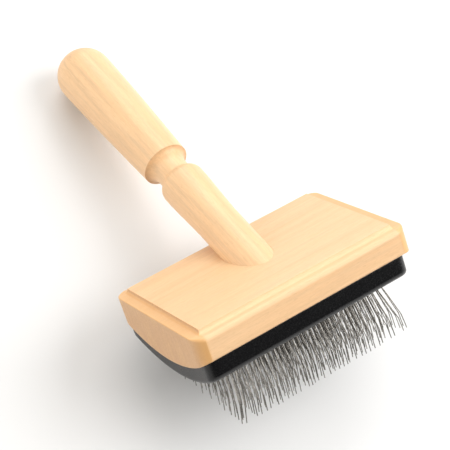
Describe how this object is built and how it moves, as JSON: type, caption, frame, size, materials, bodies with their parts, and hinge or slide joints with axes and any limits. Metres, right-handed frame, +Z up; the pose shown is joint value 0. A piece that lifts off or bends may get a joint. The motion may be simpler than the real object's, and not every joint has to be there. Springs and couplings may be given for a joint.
{
  "type": "slicker brush",
  "caption": "Pet slicker brush with a moulded wooden head, turned wooden handle, black housing and rows of bent wire pins.",
  "frame": {"origin": "middle of the object's box on the surface it lies on, as laid down on its back row of pins and its butt", "axes": "+Z up from that surface, +Y from the head to the butt of the handle, +X along the head"},
  "size_m": [0.11, 0.213, 0.0855],
  "materials": {
    "varnished_wood": "clear satin varnish on pale beech",
    "black_plastic": "glossy black moulded plastic",
    "steel_wire": "bright drawn steel wire",
    "foundation_cloth": "dark rubber-faced cloth",
    "foam_cushion": "grey sponge rubber",
    "zinc_screws": "zinc plated"
  },
  "bodies": {
    "root": {"head_block": "varnished_wood", "handle": "varnished_wood", "handle_screw": "zinc_screws", "pin_housing": "black_plastic", "housing_screws": "zinc_screws", "cushion": "foam_cushion", "foundation": "foundation_cloth", "pin_row_01": "steel_wire", "pin_row_02": "steel_wire", "pin_row_03": "steel_wire", "pin_row_04": "steel_wire", "pin_row_05": "steel_wire", "pin_row_06": "steel_wire", "pin_row_07": "steel_wire", "pin_row_08": "steel_wire", "pin_row_09": "steel_wire", "pin_row_10": "steel_wire", "pin_row_11": "steel_wire", "pin_row_12": "steel_wire", "pin_row_13": "steel_wire", "pin_row_14": "steel_wire", "pin_row_15": "steel_wire", "pin_row_16": "steel_wire", "pin_row_17": "steel_wire", "pin_row_18": "steel_wire"}
  },
  "joints": []
}
